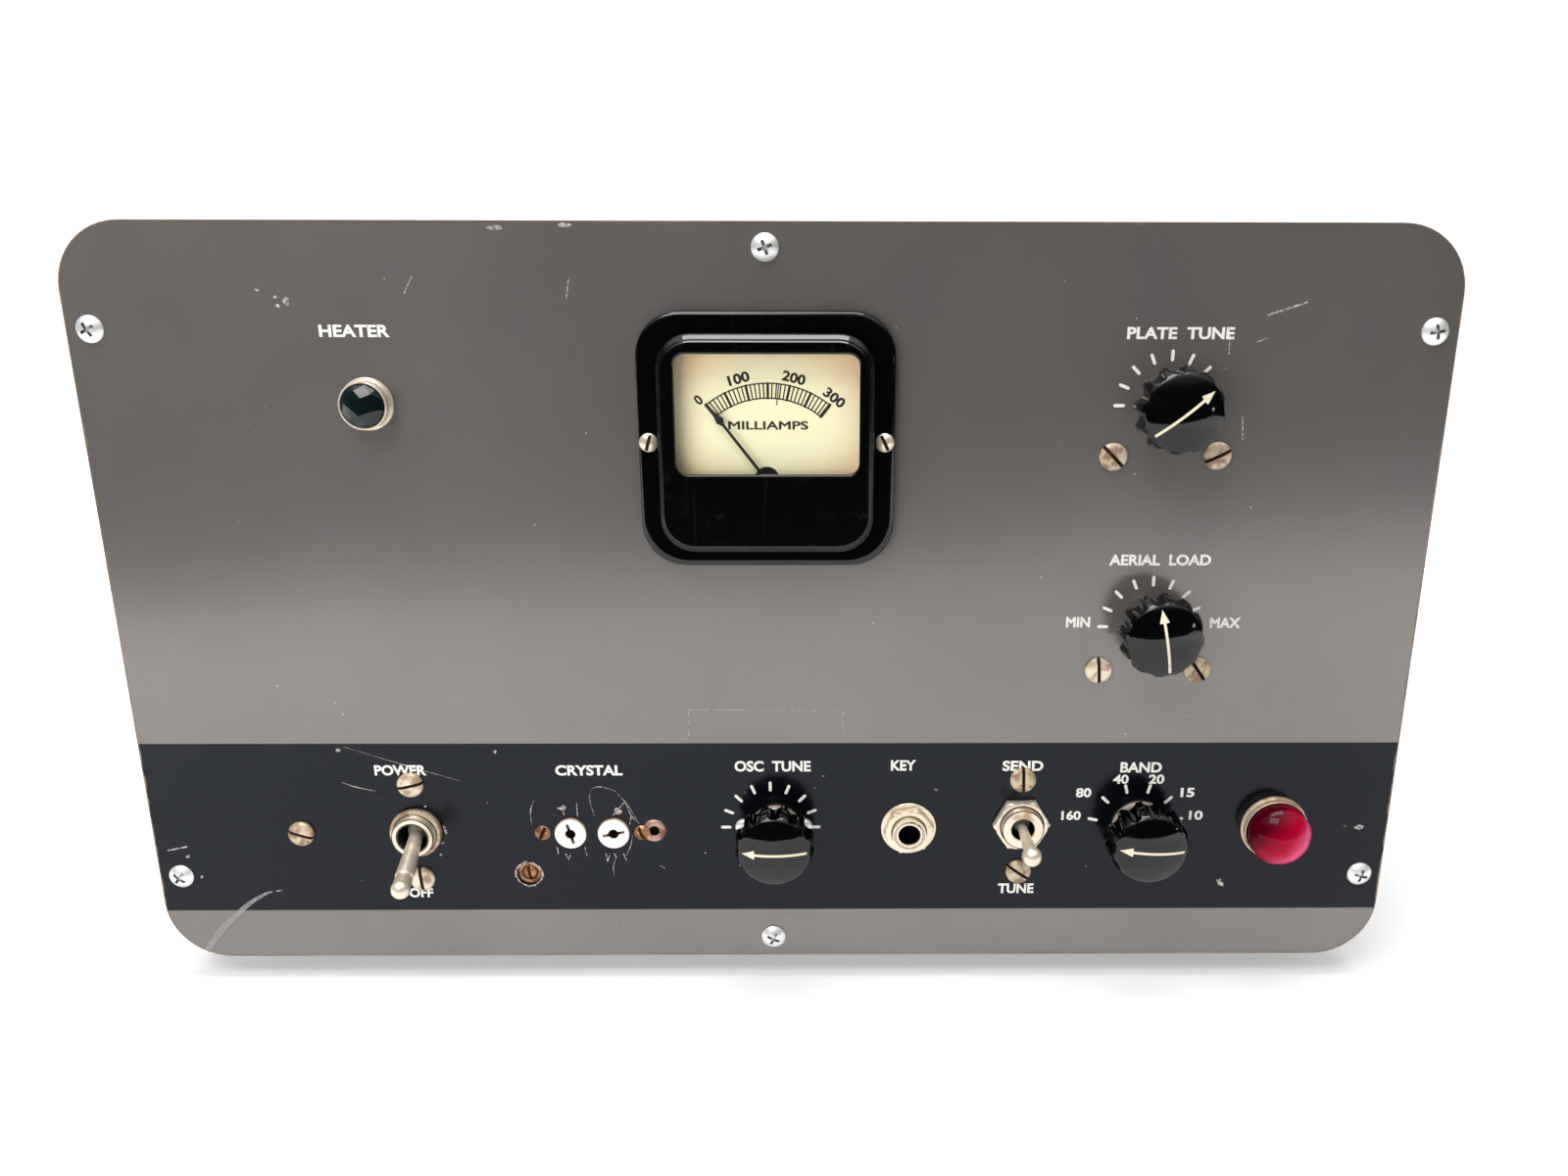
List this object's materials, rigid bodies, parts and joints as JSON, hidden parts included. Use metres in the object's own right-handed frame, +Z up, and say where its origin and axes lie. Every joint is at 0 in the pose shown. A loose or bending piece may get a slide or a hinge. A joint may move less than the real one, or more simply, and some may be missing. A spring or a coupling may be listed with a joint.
{
  "type": "amateur radio transmitter",
  "caption": "Tabletop amateur radio transmitter: wrap-round painted cabinet, dark panel with a meter, fluted tuning knobs, toggle switches, key jack, crystal socket and jewel lamps.",
  "frame": {"origin": "middle of the part's box in width and depth, on the surface that its feet stand on", "axes": "+X to the right seen from the front, +Y from the front panel to the back, +Z up"},
  "size_m": [0.3556, 0.242, 0.2175],
  "materials": {
    "painted_panel": "satin grey enamel with a black band",
    "painted_case": "satin grey enamel",
    "rubber": "matt",
    "zinc": "bright zinc",
    "plated_sheet": "dull plate",
    "bakelite": "polished black",
    "clear_glass": "clear",
    "dial_paint": "aged cream, printed",
    "magnet_steel": "dull",
    "pointer": "black lacquer",
    "nickel": "worn nickel",
    "old_screw": "tarnished",
    "aluminium": "bare",
    "steatite": "unglazed",
    "phenolic": "brown",
    "switch_body": "dark brown",
    "white_ceramic": "white glaze",
    "brass": "tarnished",
    "green_jewel": "faceted, dark green",
    "red_jewel": "clear red",
    "core_iron": "black enamel",
    "copper": "bare copper wire"
  },
  "bodies": {
    "cabinet": {"front_panel": "painted_panel", "cabinet_shell": "painted_case", "rear_cover": "painted_case", "rubber_feet": "rubber", "cabinet_screws": "zinc", "panel_screws": "zinc", "chassis": "plated_sheet", "meter_case": "bakelite", "meter_barrel": "bakelite", "meter_glass": "clear_glass", "meter_dial": "dial_paint", "meter_movement": "magnet_steel", "meter_screws": "nickel", "plate_frame": "steatite", "plate_stator": "aluminium", "loading_frame": "steatite", "loading_stator": "aluminium", "oscillator_frame": "steatite", "oscillator_stator": "aluminium", "band_frame": "plated_sheet", "band_wafers": "phenolic", "bushing_nuts": "nickel", "slotted_screws": "old_screw", "power_switch": "switch_body", "power_ring_nut": "nickel", "mode_switch": "switch_body", "mode_hex_nut": "nickel", "key_jack": "nickel", "key_nut": "nickel", "key_washer": "nickel", "crystal_socket": "white_ceramic", "crystal_contacts": "brass", "brass_screws": "brass", "filament_jewel": "green_jewel", "filament_bezel": "nickel", "transmit_jewel": "red_jewel", "transmit_bezel": "nickel", "pilot_lamps": "clear_glass", "power_transformer": "core_iron", "filter_choke": "core_iron", "filter_capacitor": "aluminium", "rectifier_tube": "clear_glass", "final_tubes": "clear_glass", "tube_sockets": "steatite", "tank_coil": "copper", "coil_posts": "white_ceramic", "antenna_connector": "nickel", "fuse_holder": "bakelite", "line_grommet": "rubber"},
    "plate_tuning": {"plate_knob": "bakelite", "plate_rotor": "aluminium"},
    "antenna_loading": {"loading_knob": "bakelite", "loading_rotor": "aluminium"},
    "oscillator_tuning": {"oscillator_knob": "bakelite", "oscillator_rotor": "aluminium"},
    "band_selector": {"band_knob": "bakelite", "band_rotor": "plated_sheet"},
    "power_toggle": {"power_lever": "nickel"},
    "mode_toggle": {"mode_lever": "nickel"},
    "meter_needle": {"meter_pointer": "pointer"}
  },
  "joints": [
    {"name": "plate_tuning_turn", "type": "hinge", "parent": "cabinet", "child": "plate_tuning", "pos_m": [0.1048, -0.09638, 0.1718], "axis": [0, 1, 0], "range_deg": [-141, 39]},
    {"name": "antenna_loading_turn", "type": "hinge", "parent": "cabinet", "child": "antenna_loading", "pos_m": [0.1048, -0.09638, 0.1118], "axis": [0, 1, 0], "range_deg": [-79, 101]},
    {"name": "oscillator_tuning_turn", "type": "hinge", "parent": "cabinet", "child": "oscillator_tuning", "pos_m": [0.001, -0.09638, 0.0498], "axis": [0, 1, 0], "range_deg": [0, 180]},
    {"name": "band_selector_turn", "type": "hinge", "parent": "cabinet", "child": "band_selector", "pos_m": [0.1058, -0.09638, 0.0502], "axis": [0, 1, 0], "range_deg": [0, 150]},
    {"name": "power_toggle_flip", "type": "hinge", "parent": "cabinet", "child": "power_toggle", "pos_m": [-0.1021, -0.09538, 0.049], "axis": [-0.9563, 0, -0.2924], "range_deg": [0, 30]},
    {"name": "mode_toggle_flip", "type": "hinge", "parent": "cabinet", "child": "mode_toggle", "pos_m": [0.0716, -0.09538, 0.0513], "axis": [-1, 0, 0], "range_deg": [-13, 13]},
    {"name": "meter_needle_swing", "type": "hinge", "parent": "cabinet", "child": "meter_needle", "pos_m": [0, -0.09638, 0.153], "axis": [0, 1, 0], "range_deg": [0, 77], "stiffness_Nm_per_rad": 0.0001}
  ]
}
